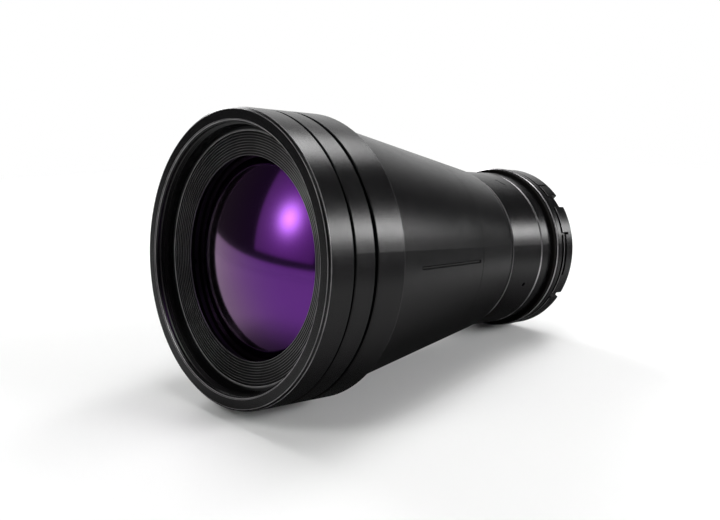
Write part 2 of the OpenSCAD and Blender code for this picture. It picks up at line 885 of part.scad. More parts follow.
// Cell of the two rear elements
module rear_cell() {
    color(blackened)
        difference() {
            turned([
                [small_bore_r, rear_cell_z],
                [rear_cell_r, rear_cell_z],
                [rear_cell_r, rear_cell_top_z],
                [clear_r, rear_cell_top_z],
                [clear_r, middle_top_z],
                [small_bore_r, middle_top_z],
            ]);
            seal_groove(rear_bore_r, rear_cell_top_z - seal_inset - groove_w / 2);
        }
}

// Middle element
module middle_element() {
    color(rear_coat)
        lens(small_r, clear_r, middle_z, middle_top_z, -middle_hollow, middle_dome);
}

// Spacer tube between the middle and rear elements
module lens_spacer() {
    color(blackened)
        ring(small_r, clear_r, rear_element_top_z, middle_z);
}

// Rear element, which shows in the rear opening
module rear_element() {
    color(rear_coat)
        lens(small_r, clear_r, rear_element_z, rear_element_top_z, rear_dome, -rear_hollow);
}

// Threaded ring that holds the rear elements in their cell
module rear_retainer() {
    color(blackened)
        difference() {
            ring(small_r, clear_r, rear_retainer_z, rear_element_z);
            spanner_slots(small_r, rear_retainer_z, -1);
        }
}

// Round seal around the rear cell
module rear_seal() {
    color(rubber)
        round_seal(rear_bore_r, rear_cell_top_z - seal_inset - groove_w / 2);
}

// Threaded ring that locks the rear cell in the mount body
module lock_ring() {
    color(blackened)
        difference() {
            ring(rear_cell_r, rear_cell_r - lock_ring_w, lock_ring_z, rear_cell_z);
            spanner_slots(rear_cell_r, lock_ring_z, -1);
        }
}

front_bezel();
baffle_ring();
front_retainer();
front_seal();
front_element();
front_cell();
cell_seal();
front_barrel();
first_baffle();
second_baffle();
seam_seal();
rear_barrel();
neck_collar();
collar_set_screws();
mount_body();
mount_seal();
bayonet_ring();
bayonet_screws();
rear_cell();
middle_element();
lens_spacer();
rear_element();
rear_retainer();
rear_seal();
lock_ring();
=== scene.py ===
"""Long-wave infrared lens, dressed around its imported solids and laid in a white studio.

Lengths are metres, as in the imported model. The optical axis is +Z, and the lens
stands on the rear face of its bayonet ring. The studio's floor is a plane that
touches the lens along its side, so the main camera sees it lying down.
"""

import json
import logging
import math
from dataclasses import dataclass
from enum import Enum

import bmesh
import bpy
from mathutils import Matrix, Vector


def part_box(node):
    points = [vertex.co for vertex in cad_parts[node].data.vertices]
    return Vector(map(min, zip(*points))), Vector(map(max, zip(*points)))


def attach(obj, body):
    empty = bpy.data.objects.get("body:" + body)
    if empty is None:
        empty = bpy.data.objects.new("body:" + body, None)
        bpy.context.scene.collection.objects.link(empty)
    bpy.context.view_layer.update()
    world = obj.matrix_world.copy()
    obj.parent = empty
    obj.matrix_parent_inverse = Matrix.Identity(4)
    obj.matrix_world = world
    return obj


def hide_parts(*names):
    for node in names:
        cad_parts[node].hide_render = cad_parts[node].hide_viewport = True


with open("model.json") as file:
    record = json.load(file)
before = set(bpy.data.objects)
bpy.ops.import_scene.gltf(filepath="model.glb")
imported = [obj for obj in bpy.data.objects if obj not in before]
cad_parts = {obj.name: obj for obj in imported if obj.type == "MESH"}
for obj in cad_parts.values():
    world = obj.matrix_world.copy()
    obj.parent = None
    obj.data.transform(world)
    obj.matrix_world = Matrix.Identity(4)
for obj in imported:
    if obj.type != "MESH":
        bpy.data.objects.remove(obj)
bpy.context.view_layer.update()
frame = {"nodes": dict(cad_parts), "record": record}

MM = 0.001
LOG = logging.getLogger("lens")
Colour = tuple[float, float, float]
Outline = list[tuple[float, float]]

# Bare metal, also the colour of the painted highlight lines along the edges.
WORN_HIGHLIGHT_METAL = (0.66, 0.64, 0.66)
ANODISED_IOR = 1.40
WHITE = (1.0, 1.0, 1.0)
SMOOTH_ANGLE = 25.0


class Ray(Enum):
    """Kinds of ray that the Light Path node tells apart."""

    CAMERA = "Is Camera Ray"
    GLOSSY = "Is Glossy Ray"
    TRANSMISSION = "Is Transmission Ray"
    SHADOW = "Is Shadow Ray"


class Slot(Enum):
    """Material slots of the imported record."""

    ANODISED = "anodised"
    BLACKENED = "blackened"
    RUBBER = "rubber"
    STEEL = "steel"
    FRONT_COATING = "front_coating"
    REAR_COATING = "rear_coating"


def rgba(colour: Colour) -> tuple[float, float, float, float]:
    """Colour with full alpha, as a colour socket takes it."""
    return (*colour, 1.0)


class NodeSheet:
    """Node tree that is being laid out, for a material, a world or a group."""

    def __init__(self, tree: bpy.types.NodeTree) -> None:
        """Start on an empty tree."""
        self.tree = tree
        tree.nodes.clear()

    def add(
        self, kind: str, settings: dict[str, object] | None = None, *values: object, **inputs: object,
    ) -> bpy.types.Node:
        """Add a node.

        Args:
            kind: Type name of the node, without its ShaderNode prefix if it has one.
            settings: Attributes of the node, such as an operation.
            *values: Values or sources of its first sockets, in their order.
            **inputs: Values or sources of other sockets, by name with _ for a space.

        Returns:
            The new node.
        """
        prefix = "" if kind.startswith("Node") else "ShaderNode"
        node = self.tree.nodes.new(prefix + kind)
        for name, value in (settings or {}).items():
            setattr(node, name, value)
        for value, socket in zip(values, node.inputs):
            self.feed(value, socket)
        for name, value in inputs.items():
            self.feed(value, node.inputs[name.replace("_", " ")])
        return node

    def feed(self, value: object, socket: bpy.types.NodeSocket) -> None:
        """Link a source to a socket, or set the socket's own value.

        Args:
            value: A node, a node's output or a plain value.
            socket: The input that takes it.
        """
        if isinstance(value, bpy.types.Node):
            value = value.outputs[0]
        if isinstance(value, bpy.types.NodeSocket):
            self.tree.links.new(value, socket)
        else:
            socket.default_value = value

    def maths(self, operation: str, *values: object) -> bpy.types.NodeSocket:
        """Result of a Math node, such as a MULTIPLY, on one, two or three values."""
        return self.add("Math", {"operation": operation}, *values).outputs[0]

    def vectors(self, operation: str, *values: object) -> bpy.types.NodeSocket:
        """Number that a Vector Math node gives, such as a DISTANCE or a DOT_PRODUCT."""
        return self.add("VectorMath", {"operation": operation}, *values).outputs["Value"]

    def largest(self, value: bpy.types.NodeSocket, *others: bpy.types.NodeSocket) -> bpy.types.NodeSocket:
        """Largest of some values.

        Args:
            value: The first of them.
            *others: The others.

        Returns:
            The result's socket.
        """
        for other in others:
            value = self.maths("MAXIMUM", value, other)
        return value

    def ramp(
        self, value: object, low: float, high: float, start: float = 0.0, end: float = 1.0,
    ) -> bpy.types.NodeSocket:
        """Smooth step of a value.

        Args:
            value: What is mapped.
            low: Value that gives the start.
            high: Value that gives the end.
            start: Result at the low value.
            end: Result at the high value.

        Returns:
            The result's socket.
        """
        node = self.add(
            "MapRange", {"interpolation_type": "SMOOTHSTEP"},
            Value=value, From_Min=low, From_Max=high, To_Min=start, To_Max=end,
        )
        return node.outputs["Result"]

    def mix_colours(self, factor: object, first: object, second: object) -> bpy.types.NodeSocket:
        """Blend of two colours, which is the first one where the factor is 0."""
        return self.add("Mix", {"data_type": "RGBA"}, Factor=factor, A=first, B=second).outputs["Result"]

    def mix_values(self, factor: object, first: object, second: object) -> bpy.types.NodeSocket:
        """Blend of two values, which is the first one where the factor is 0."""
        return self.add("Mix", {"data_type": "FLOAT"}, Factor=factor, A=first, B=second).outputs["Result"]

    def object_place(self) -> bpy.types.NodeSocket:
        """Place on the piece, in its own axes."""
        return self.add("TexCoord").outputs["Object"]

    def bump(self, height: bpy.types.NodeSocket) -> bpy.types.Node:
        """Bump from a height in metres."""
        return self.add("Bump", Strength=1.0, Distance=1.0, Height=height)

    def finish_surface(self, **inputs: object) -> None:
        """Add the Principled shader with the given inputs, and the material's output."""
        self.add("OutputMaterial", Surface=self.add("BsdfPrincipled", **inputs))

    def seen_by(self, *rays: Ray) -> bpy.types.NodeSocket:
        """Mask that is 1 for the given kinds of ray."""
        path = self.add("LightPath")
        return self.largest(*(path.outputs[ray.value] for ray in rays))


def new_group(
    name: str, inputs: dict[str, float], outputs: list[str],
) -> tuple[bpy.types.NodeTree, NodeSheet]:
    """Start a shader node group whose sockets are all plain values.

    Args:
        name: Name of the group.
        inputs: Its inputs with their usual values.
        outputs: Its outputs.

    Returns:
        The group and its sheet.
    """
    tree = bpy.data.node_groups.new(name, "ShaderNodeTree")
    for label, value in inputs.items():
        socket = tree.interface.new_socket(label, in_out="INPUT", socket_type="NodeSocketFloat")
        socket.default_value = value
    for label in outputs:
        tree.interface.new_socket(label, in_out="OUTPUT", socket_type="NodeSocketFloat")
    return tree, NodeSheet(tree)


@dataclass(frozen=True)
class WornHighlightEdge:
    """Turned edge painted as bare metal, as a circle around the optical axis: partly worn anodising, partly
    a painted highlight line whose brightness the shine sets.
    """

    name: str
    radius: float
    height: float
    width: float
    shine: float


# Edges painted as bare metal; each shine sets how bright its painted highlight line is.
WORN_HIGHLIGHT_EDGES = (
    WornHighlightEdge("face_outer_edge", 49.2 * MM, 152.05 * MM, 0.2 * MM, 0.25),
    WornHighlightEdge("bezel_shoulder", 50.0 * MM, 151.25 * MM, 0.25 * MM, 0.2),
    WornHighlightEdge("face_inner_edge", 45.9 * MM, 152.05 * MM, 0.15 * MM, 0.4),
    WornHighlightEdge("thread_lead", 45.6 * MM, 151.8 * MM, 0.2 * MM, 0.45),
    WornHighlightEdge("baffle_land", 42.5 * MM, 145.45 * MM, 0.15 * MM, 0.2),
    WornHighlightEdge("baffle_lip_underside", 34.75 * MM, 143.6 * MM, 0.3 * MM, 0.4),
    WornHighlightEdge("barrel_band_rear", 49.9 * MM, 120.15 * MM, 0.22 * MM, 0.8),
    WornHighlightEdge("cone_rear", 33.1 * MM, 39.65 * MM, 0.25 * MM, 0.6),
    WornHighlightEdge("collar_front", 32.25 * MM, 39.1 * MM, 0.25 * MM, 0.25),
    WornHighlightEdge("mount_body_front", 32.18 * MM, 19.78 * MM, 0.32 * MM, 1.0),
    WornHighlightEdge("flange_front", 34.25 * MM, 11.5 * MM, 0.28 * MM, 0.8),
    WornHighlightEdge("flange_rear", 34.25 * MM, 8.25 * MM, 0.22 * MM, 0.3),
    WornHighlightEdge("rim_front", 34.2 * MM, 6.6 * MM, 0.2 * MM, 0.4),
    WornHighlightEdge("rim_rear", 34.05 * MM, 0.15 * MM, 0.25 * MM, 0.3),
)


@dataclass(frozen=True)
class Cloud:
    """Soft-edged patches of noise."""

    scale: float
    low: float
    high: float
    detail: float = 2.0
    distortion: float = 0.0
    start: float = 0.0

    def lay(self, sheet: NodeSheet) -> bpy.types.NodeSocket:
        """Add the patches.

        Args:
            sheet: Sheet that they are laid on.

        Returns:
            Socket with the start value between the patches and 1 in them.
        """
        noise = sheet.add(
            "TexNoise", Vector=sheet.object_place(), Scale=self.scale, Detail=self.detail,
            Distortion=self.distortion,
        )
        return sheet.ramp(noise.outputs[0], self.low, self.high, self.start)


@dataclass
class SurfaceEffects:
    """Node groups that several finishes share."""

    worn_highlight_breakup: Cloud = Cloud(110.0, 0.35, 0.6, detail=3.0, start=0.6)
    uneven_turning: Cloud = Cloud(90.0, 0.3, 0.7, detail=1.0)
    uneven_dye: Cloud = Cloud(140.0, 0.35, 0.7, detail=3.0)
    wiped: Cloud = Cloud(38.0, 0.45, 0.75, detail=4.0, distortion=0.6)
    dusty: Cloud = Cloud(150.0, 0.62, 0.68)
    worn_highlight_share: float = 0.6
    speck_scale: float = 420.0
    speck_core: float = 0.035
    speck_edge: float = 0.075

    def __post_init__(self) -> None:
        """Build each group once."""
        self.place = self.build_place()
        self.wear_and_highlight = self.build_wear_and_highlights()
        self.turning = self.build_turning()
        self.grain = self.build_grain()
        self.handling = self.build_handling()

    def build_place(self) -> bpy.types.NodeTree:
        """Distance from the optical axis, and height along it.

        Returns:
            Group with the outputs Radius and Height, in metres.
        """
        tree, sheet = new_group("axial_place", {}, ["Radius", "Height"])
        parts = sheet.add("SeparateXYZ", Vector=sheet.object_place())
        square_x = sheet.maths("MULTIPLY", parts.outputs["X"], parts.outputs["X"])
        square_y = sheet.maths("MULTIPLY", parts.outputs["Y"], parts.outputs["Y"])
        radius = sheet.maths("SQRT", sheet.maths("ADD", square_x, square_y))
        sheet.add("NodeGroupOutput", Radius=radius, Height=parts.outputs["Z"])
        return tree

    def build_wear_and_highlights(self) -> bpy.types.NodeTree:
        """Bare metal along the edges: partly wear where they rub and knock, partly painted highlight lines.

        Returns:
            Group with the output Mask.
        """
        tree, sheet = new_group("worn_and_highlight_edges", {}, ["Mask"])
        axial = place_group(sheet, self.place)
        here = sheet.add("CombineXYZ", X=axial.outputs["Radius"], Y=axial.outputs["Height"])
        masks = []
        for edge in WORN_HIGHLIGHT_EDGES:
            settings = {"operation": "DISTANCE", "label": edge.name}
            away = sheet.add("VectorMath", settings, here, (edge.radius, edge.height, 0.0)).outputs["Value"]
            masks.append(sheet.ramp(away, self.worn_highlight_share * edge.width, edge.width, edge.shine, 0.0))
        bare_and_highlight = sheet.largest(*masks)
        sheet.add("NodeGroupOutput", Mask=sheet.maths("MULTIPLY", bare_and_highlight, self.worn_highlight_breakup.lay(sheet)))
        return tree

    def build_turning(self) -> bpy.types.NodeTree:
        """Fine rings that a lathe tool leaves, around the optical axis.

        Returns:
            Group with the inputs Pitch, in metres, and Breakup, and the output Height.
        """
        tree, sheet = new_group("turning_marks", {"Pitch": 0.12 * MM, "Breakup": 0.5}, ["Height"])
        given = sheet.add("NodeGroupInput")
        axial = place_group(sheet, self.place)
        rate = sheet.maths("DIVIDE", 1.0, given.outputs["Pitch"])
        along = sheet.maths("MULTIPLY", axial.outputs["Height"], rate)
        across = sheet.maths("MULTIPLY", axial.outputs["Radius"], rate)
        rings = sheet.add("CombineXYZ", X=along, Y=across)
        fine = sheet.add("TexNoise", {"noise_dimensions": "2D"}, Vector=rings, Scale=1.0, Detail=2.0)
        breakup = sheet.maths("MULTIPLY", self.uneven_turning.lay(sheet), given.outputs["Breakup"])
        kept = sheet.maths("SUBTRACT", 1.0, breakup)
        sheet.add("NodeGroupOutput", Height=sheet.maths("MULTIPLY", fine.outputs[0], kept))
        return tree

    def build_grain(self) -> bpy.types.NodeTree:
        """Speckle of blasted and anodised metal.

        Returns:
            Group with the input Size, in metres, and the outputs Height and Mask.
        """
        tree, sheet = new_group("anodised_grain", {"Size": 0.3 * MM}, ["Height", "Mask"])
        given = sheet.add("NodeGroupInput")
        rate = sheet.maths("DIVIDE", 1.0, given.outputs["Size"])
        speckle = sheet.add("TexNoise", Vector=sheet.object_place(), Scale=rate, Detail=1.0, Roughness=0.6)
        sheet.add("NodeGroupOutput", Height=speckle.outputs[0], Mask=self.uneven_dye.lay(sheet))
        return tree

    def build_handling(self) -> bpy.types.NodeTree:
        """Faint wipe marks and dust that change the gloss in soft patches.

        Returns:
            Group with the input Amount and the outputs Wipe and Dust.
        """
        tree, sheet = new_group("handling_marks", {"Amount": 1.0}, ["Wipe", "Dust"])
        given = sheet.add("NodeGroupInput")
        wipe = sheet.maths("MULTIPLY", self.wiped.lay(sheet), given.outputs["Amount"])
        place = sheet.object_place()
        specks = sheet.add("TexVoronoi", {"feature": "F1"}, Vector=place, Scale=self.speck_scale)
        near = sheet.ramp(specks.outputs["Distance"], self.speck_core, self.speck_edge, 1.0, 0.0)
        settled = sheet.maths("MULTIPLY", near, self.dusty.lay(sheet))
        dust = sheet.maths("MULTIPLY", settled, given.outputs["Amount"])
        sheet.add("NodeGroupOutput", Wipe=wipe, Dust=dust)
        return tree


def place_group(sheet: NodeSheet, tree: bpy.types.NodeTree, **inputs: float) -> bpy.types.Node:
    """Put a shared group in a material, with that material's own values."""
    return sheet.add("Group", {"node_tree": tree}, **inputs)


def new_material(name: str) -> tuple[bpy.types.Material, NodeSheet]:
    """Start a material.

    Args:
        name: Name of the material.

    Returns:
        The material and its sheet, which has no nodes yet.
    """
    material = bpy.data.materials.new(name)
    material.use_nodes = True
    return material, NodeSheet(material.node_tree)


@dataclass(frozen=True)
class AnodisedFinish:
    """Black anodised aluminium: turned, lightly blasted and dyed."""

    name: str
    colour: Colour = (0.0030, 0.0029, 0.0032)
    dusty_colour: Colour = (0.16, 0.155, 0.15)
    worn_highlight_colour: Colour = WORN_HIGHLIGHT_METAL
    roughness: float = 0.24
    roughness_spread: float = 0.03
    ior: float = ANODISED_IOR
    mark_pitch: float = 0.16 * MM
    mark_depth: float = 0.001 * MM
    mark_breakup: float = 0.6
    grain_size: float = 0.36 * MM
    grain_depth: float = 0.026 * MM
    handling: float = 0.12

    def build(self, effects: SurfaceEffects) -> bpy.types.Material:
        """Make the material from the shared effects.

        Args:
            effects: The shared effects.

        Returns:
            The material.
        """
        material, sheet = new_material(self.name)
        turning = place_group(sheet, effects.turning, Pitch=self.mark_pitch, Breakup=self.mark_breakup)
        grain = place_group(sheet, effects.grain, Size=self.grain_size)
        handling = place_group(sheet, effects.handling, Amount=self.handling)
        # Bare metal on the edges: partly wear, partly painted highlight lines.
        wear_and_highlight = place_group(sheet, effects.wear_and_highlight).outputs["Mask"]
        surface_tone = sheet.mix_colours(handling.outputs["Dust"], rgba(self.colour), rgba(self.dusty_colour))
        colour = sheet.mix_colours(wear_and_highlight, surface_tone, rgba(self.worn_highlight_colour))
        uneven = sheet.maths("ADD", grain.outputs["Mask"], handling.outputs["Wipe"])
        roughness = sheet.maths("MULTIPLY_ADD", uneven, self.roughness_spread, self.roughness)
        marks = sheet.maths("MULTIPLY", turning.outputs["Height"], self.mark_depth)
        height = sheet.maths("MULTIPLY_ADD", grain.outputs["Height"], self.grain_depth, marks)
        sheet.finish_surface(
            Base_Color=colour, Metallic=wear_and_highlight, Roughness=roughness, IOR=self.ior, Normal=sheet.bump(height),
        )
        return material


@dataclass(frozen=True)
class BaffleFinish:
    """Black anodised sawtooth whose crests are painted pale and partly metallic, a painted highlight for the
    light that they catch.

    The depths are shares of a tooth's step, below the line through the crests.
    """

    name: str
    land_radius: float
    land_height: float
    slope: float
    step: float
    colour: Colour = (0.0012, 0.0012, 0.0013)
    crest_highlight_colour: Colour = (0.26, 0.255, 0.26)
    crest_shine: float = 0.2
    crest_depth: float = 0.3
    crest_least: float = 0.65
    crest_spread: float = 0.35
    under_colour: Colour = (0.03, 0.028, 0.031)
    under_from: float = 1.1
    under_to: float = 1.4
    worn_highlight_colour: Colour = WORN_HIGHLIGHT_METAL
    roughness: float = 0.34
    ior: float = ANODISED_IOR

    def build(self, effects: SurfaceEffects) -> bpy.types.Material:
        """Make the material, which pales from the foot of each tooth to its crest as a painted highlight.

        Args:
            effects: The shared effects.

        Returns:
            The material.
        """
        material, sheet = new_material(self.name)
        axial = place_group(sheet, effects.place)
        inward = sheet.maths("SUBTRACT", self.land_radius, axial.outputs["Radius"])
        crests = sheet.maths("SUBTRACT", self.land_height, sheet.maths("MULTIPLY", inward, self.slope))
        below = sheet.maths("SUBTRACT", crests, axial.outputs["Height"])
        # Painted highlight: the crests are paler and partly metallic.
        crest_highlight_ramp = sheet.ramp(below, 0.0, self.crest_depth * self.step, 1.0, 0.0)
        patches = place_group(sheet, effects.grain).outputs["Mask"]
        kept = sheet.maths("MULTIPLY_ADD", patches, self.crest_spread, self.crest_least)
        crest = sheet.maths("MULTIPLY", crest_highlight_ramp, kept)
        toothed = sheet.mix_colours(crest, rgba(self.colour), rgba(self.crest_highlight_colour))
        under = sheet.ramp(below, self.under_from * self.step, self.under_to * self.step)
        surface_tone = sheet.mix_colours(under, toothed, rgba(self.under_colour))
        # Bare metal on the edges: partly wear, partly painted highlight lines.
        wear_and_highlight = place_group(sheet, effects.wear_and_highlight).outputs["Mask"]
        colour = sheet.mix_colours(wear_and_highlight, surface_tone, rgba(self.worn_highlight_colour))
        glint = sheet.maths("MAXIMUM", wear_and_highlight, sheet.maths("MULTIPLY", crest, self.crest_shine))
        sheet.finish_surface(Base_Color=colour, Metallic=glint, Roughness=self.roughness, IOR=self.ior)
        return material


@dataclass(frozen=True)
class EngravingShadeAndFill:
    """Dead black sheet in the bottom of the engraved lines: painted shade along the slot's walls, and a
    black fill in the index mark.
    """

    name: str
    colour: Colour = (0.0012, 0.0012, 0.0014)
    roughness: float = 0.7
    roughness_spread: float = 0.15
    specular: float = 0.1

    def build(self, effects: SurfaceEffects) -> bpy.types.Material:
        """Make the material, a little uneven in its gloss.

        Args:
            effects: The shared effects.

        Returns:
            The material.
        """
        material, sheet = new_material(self.name)
        patches = place_group(sheet, effects.grain).outputs["Mask"]
        roughness = sheet.maths("MULTIPLY_ADD", patches, self.roughness_spread, self.roughness)
        sheet.finish_surface(
            Base_Color=rgba(self.colour), Roughness=roughness, Specular_IOR_Level=self.specular,
        )
        return material


@dataclass(frozen=True)
class CoatedGermanium:
    """Polished germanium whose coating mirrors one colour, and another one where it slants away."""

    name: str
    tint: Colour
    slanted_tint: Colour
    slant_from: float = 0.22
    slant_to: float = 0.62
    blotch_scale: float = 22.0
    blotch_depth: float = 0.08
    handling: float = 0.35
    roughness: float = 0.09
    wiped_roughness: float = 0.03
    dusty_roughness: float = 0.5
    coat_roughness: float = 0.12
    coat_ior: float = 1.47

    def build(self, effects: SurfaceEffects) -> bpy.types.Material:
        """Make the material, with a trace of dust on the polish.

        Args:
            effects: The shared effects.

        Returns:
            The material.
        """
        material, sheet = new_material(self.name)
        handling = place_group(sheet, effects.handling, Amount=self.handling)
        haze = sheet.maths("MULTIPLY_ADD", handling.outputs["Wipe"], self.wiped_roughness, self.roughness)
        dulled = sheet.maths("MULTIPLY", handling.outputs["Dust"], self.dusty_roughness)
        roughness = sheet.maths("MAXIMUM", haze, dulled)
        blotches = sheet.add("TexNoise", Vector=sheet.object_place(), Scale=self.blotch_scale, Detail=2.0)
        facing = sheet.add("LayerWeight", Blend=0.5).outputs["Facing"]
        centred = sheet.maths("SUBTRACT", facing, self.blotch_depth / 2)
        shifted = sheet.maths("MULTIPLY_ADD", blotches.outputs[0], self.blotch_depth, centred)
        slanted = sheet.ramp(shifted, self.slant_from, self.slant_to)
        sheet.finish_surface(
            Base_Color=sheet.mix_colours(slanted, rgba(self.tint), rgba(self.slanted_tint)),
            Metallic=1.0, Roughness=roughness, Coat_Weight=1.0, Coat_Roughness=self.coat_roughness,
            Coat_IOR=self.coat_ior,
        )
        return material


@dataclass(frozen=True)
class RubberFinish:
    """Matt moulded rubber."""

    name: str
    colour: Colour = (0.0025, 0.002, 0.0018)
    grain_size: float = 0.22 * MM
    grain_depth: float = 0.012 * MM
    roughness: float = 0.75
    roughness_spread: float = 0.12
    specular: float = 0.08

    def build(self, effects: SurfaceEffects) -> bpy.types.Material:
        """Make the material, with its moulded grain.

        Args:
            effects: The shared effects.

        Returns:
            The material.
        """
        material, sheet = new_material(self.name)
        grain = place_group(sheet, effects.grain, Size=self.grain_size)
        height = sheet.maths("MULTIPLY", grain.outputs["Height"], self.grain_depth)
        roughness = sheet.maths("MULTIPLY_ADD", grain.outputs["Mask"], self.roughness_spread, self.roughness)
        sheet.finish_surface(
            Base_Color=rgba(self.colour), Roughness=roughness, Specular_IOR_Level=self.specular,
            Normal=sheet.bump(height),
        )
        return material


@dataclass(frozen=True)
class SteelFinish:
    """Blackened steel of the small screws."""

    name: str
    colour: Colour = (0.11, 0.11, 0.115)
    grain_size: float = 0.15 * MM
    grain_depth: float = 0.003 * MM
    roughness: float = 0.34
    roughness_spread: float = 0.12

    def build(self, effects: SurfaceEffects) -> bpy.types.Material:
        """Make the material, with its fine grain.

        Args:
            effects: The shared effects.

        Returns:
            The material.
        """
        material, sheet = new_material(self.name)
        grain = place_group(sheet, effects.grain, Size=self.grain_size)
        height = sheet.maths("MULTIPLY", grain.outputs["Height"], self.grain_depth)
        roughness = sheet.maths("MULTIPLY_ADD", grain.outputs["Mask"], self.roughness_spread, self.roughness)
        sheet.finish_surface(
            Base_Color=rgba(self.colour), Metallic=1.0, Roughness=roughness, Normal=sheet.bump(height),
        )
        return material


class FinishRack:
    """All the finishes of the lens, built once and handed out by slot."""

    def __init__(self) -> None:
        """Build every material."""
        effects = SurfaceEffects()
        self.effects = effects
        self.engraving_fill_and_shade = EngravingShadeAndFill("engraving_fill_and_painted_shade").build(effects)
        self.by_slot = {
            Slot.ANODISED: AnodisedFinish("satin_black_anodised").build(effects),
            Slot.BLACKENED: AnodisedFinish(
                "matt_black_anodised", colour=(0.003, 0.003, 0.0032), roughness=0.38, handling=0.2,
            ).build(effects),
            Slot.RUBBER: RubberFinish("black_rubber").build(effects),
            Slot.STEEL: SteelFinish("blackened_steel").build(effects),
            Slot.FRONT_COATING: CoatedGermanium(
                "purple_coated_germanium", (0.160, 0.009, 0.325), (0.22, 0.068, 0.25),
            ).build(effects),
            Slot.REAR_COATING: CoatedGermanium(
                "teal_coated_germanium", (0.02, 0.05, 0.06), (0.05, 0.05, 0.06),
            ).build(effects),
        }

    def dress(self, piece: bpy.types.Object, slot: Slot) -> None:
        """Give a piece the finish of a slot, in place of any it has."""
        self.coat(piece, self.by_slot[slot])

    def coat(self, piece: bpy.types.Object, material: bpy.types.Material) -> None:
        """Give a piece one material, in place of any it has."""
        piece.data.materials.clear()
        piece.data.materials.append(material)


def deselect_all() -> None:
    """Leave nothing selected, so that the next operator acts on its own piece."""
    bpy.ops.object.select_all(action="DESELECT")


def pick(piece: bpy.types.Object) -> None:
    """Select a piece alone, so that the next operator acts on it.

    Args:
        piece: The piece.
    """
    deselect_all()
    piece.select_set(True)
    bpy.context.view_layer.objects.active = piece


def settle(piece: bpy.types.Object) -> None:
    """Move a piece's place, turn and size into its mesh."""
    pick(piece)
    bpy.ops.object.transform_apply(location=True, rotation=True, scale=True)


def name_primitive(name: str) -> bpy.types.Object:
    """Name the primitive that was just added.

    Args:
        name: The name.

    Returns:
        The primitive's object.
    """
    piece = bpy.context.active_object
    piece.name = piece.data.name = name
    return piece


def close_up() -> None:
    """Point all the faces of the piece in edit mode outwards, and leave edit mode."""
    bpy.ops.mesh.select_all(action="SELECT")
    bpy.ops.mesh.normals_make_consistent(inside=False)
    bpy.ops.object.mode_set(mode="OBJECT")


def hand_over(piece: bpy.types.Object, finishes: FinishRack, slot: Slot, *nodes: str) -> None:
    """Dress a finished piece and let it stand for its CAD nodes.

    Args:
        piece: The finished piece.
        finishes: The finishes to choose from.
        slot: The record's slot that it takes its finish from.
        *nodes: CAD nodes that it replaces.
    """
    finishes.dress(piece, slot)
    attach(piece, "root")
    if nodes:
        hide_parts(*nodes)
    LOG.info("%s: %d faces", piece.name, len(piece.data.polygons))


@dataclass(frozen=True)
class Lathe:
    """Turns outlines about the optical axis, ring by ring."""

    segments: int = 240
    merge_distance: float = 0.0001 * MM

    def turn(self, name: str, outline: Outline, ease: float) -> bpy.types.Object:
        """Turn a closed outline into a ring.

        Args:
            name: Name of the piece.
            outline: Radius and height of each corner, in metres.
            ease: Width of the small bevel on its sharp edges.

        Returns:
            The finished piece.
        """
        piece = self.draw(name, outline + outline[:1])
        bpy.ops.mesh.select_all(action="SELECT")
        bpy.ops.mesh.remove_doubles(threshold=self.merge_distance)
        close_up()
        self.finish(piece, ease, SMOOTH_ANGLE)
        return piece

    def draw(self, name: str, outline: Outline) -> bpy.types.Object:
        """Draw the rings of an open outline and stay in edit mode.

        Args:
            name: Name of the piece.
            outline: Radius and height of each corner, in metres.

        Returns:
            The piece, in edit mode with its last ring selected.
        """
        deselect_all()
        radius, height = outline[0]
        bpy.ops.mesh.primitive_circle_add(vertices=self.segments, radius=radius, location=(0.0, 0.0, height))
        piece = name_primitive(name)
        settle(piece)
        bpy.ops.object.mode_set(mode="EDIT")
        bpy.ops.mesh.select_all(action="SELECT")
        for next_radius, next_height in outline[1:]:
            growth = next_radius / radius
            bpy.ops.mesh.extrude_edges_move()
            bpy.ops.transform.resize(value=(growth, growth, 1.0))
            bpy.ops.transform.translate(value=(0.0, 0.0, next_height - height))
            radius, height = next_radius, next_height
        return piece

    def finish(self, piece: bpy.types.Object, ease: float, smooth_angle: float) -> None:
        """Ease the sharp edges and shade the rest smooth.

        Args:
            piece: The piece, in object mode.
            ease: Width of the bevel, or zero for none.
            smooth_angle: Largest angle in degrees that is shaded smooth.
        """
        pick(piece)
        if ease > 0.0:
            bevel = piece.modifiers.new("eased_edges", "BEVEL")
            bevel.width = ease
            bevel.segments = 2
            bevel.limit_method = "ANGLE"
            bevel.angle_limit = math.radians(smooth_angle)
            bpy.ops.object.modifier_apply(modifier=bevel.name)
        bpy.ops.object.shade_smooth_by_angle(angle=math.radians(smooth_angle))
        if ease > 0.0:
            weighted = piece.modifiers.new("flat_faces_kept", "WEIGHTED_NORMAL")
            weighted.keep_sharp = True
            bpy.ops.object.modifier_apply(modifier=weighted.name)


